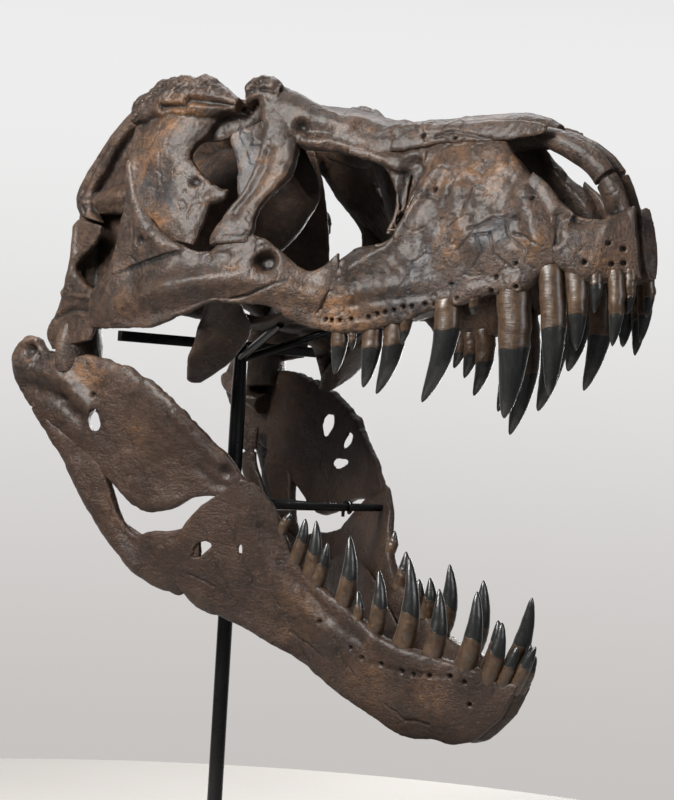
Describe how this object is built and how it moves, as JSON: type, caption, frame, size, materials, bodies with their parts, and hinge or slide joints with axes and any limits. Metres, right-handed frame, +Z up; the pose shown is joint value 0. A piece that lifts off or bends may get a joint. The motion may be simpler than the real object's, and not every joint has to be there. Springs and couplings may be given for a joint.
{
  "type": "mounted dinosaur skull",
  "caption": "Life-size skull of a large meat-eating dinosaur, cast bone by bone, with open toothed jaws, held on a black steel pole with a flat base.",
  "frame": {"origin": "on the floor under the pole's centre line, in the base plate's underside", "axes": "+X towards the snout, +Y to the animal's left, +Z up"},
  "size_m": [1.4573, 0.7008, 1.7517],
  "materials": {
    "bone_cast": "painted resin cast of brown fossil bone, semi-gloss varnish",
    "tooth_cast": "painted resin, tan roots and dark grey-green crowns, semi-gloss",
    "black_steel": "black gloss paint"
  },
  "bodies": {
    "root": {"angular_L": "bone_cast", "angular_R": "bone_cast", "articular_L": "bone_cast", "articular_R": "bone_cast", "base_plate": "black_steel", "braincase": "bone_cast", "crossbar": "black_steel", "dentary_L": "bone_cast", "dentary_R": "bone_cast", "ectopterygoid_L": "bone_cast", "ectopterygoid_R": "bone_cast", "jaw_arm": "black_steel", "jaw_bar": "black_steel", "jaw_clip": "black_steel", "jugal_L": "bone_cast", "jugal_R": "bone_cast", "lacrimal_L": "bone_cast", "lacrimal_R": "bone_cast", "maxilla_L": "bone_cast", "maxilla_R": "bone_cast", "nasals": "bone_cast", "palatine_L": "bone_cast", "palatine_R": "bone_cast", "pole": "black_steel", "postorbital_L": "bone_cast", "postorbital_R": "bone_cast", "prearticular_L": "bone_cast", "prearticular_R": "bone_cast", "premaxilla_L": "bone_cast", "premaxilla_R": "bone_cast", "pterygoid_L": "bone_cast", "pterygoid_R": "bone_cast", "quadrate_L": "bone_cast", "quadrate_R": "bone_cast", "quadratojugal_L": "bone_cast", "quadratojugal_R": "bone_cast", "splenial_L": "bone_cast", "splenial_R": "bone_cast", "squamosal_L": "bone_cast", "squamosal_R": "bone_cast", "strut_L": "black_steel", "strut_R": "black_steel", "surangular_L": "bone_cast", "surangular_R": "bone_cast", "vomer": "bone_cast"}
  },
  "joints": []
}
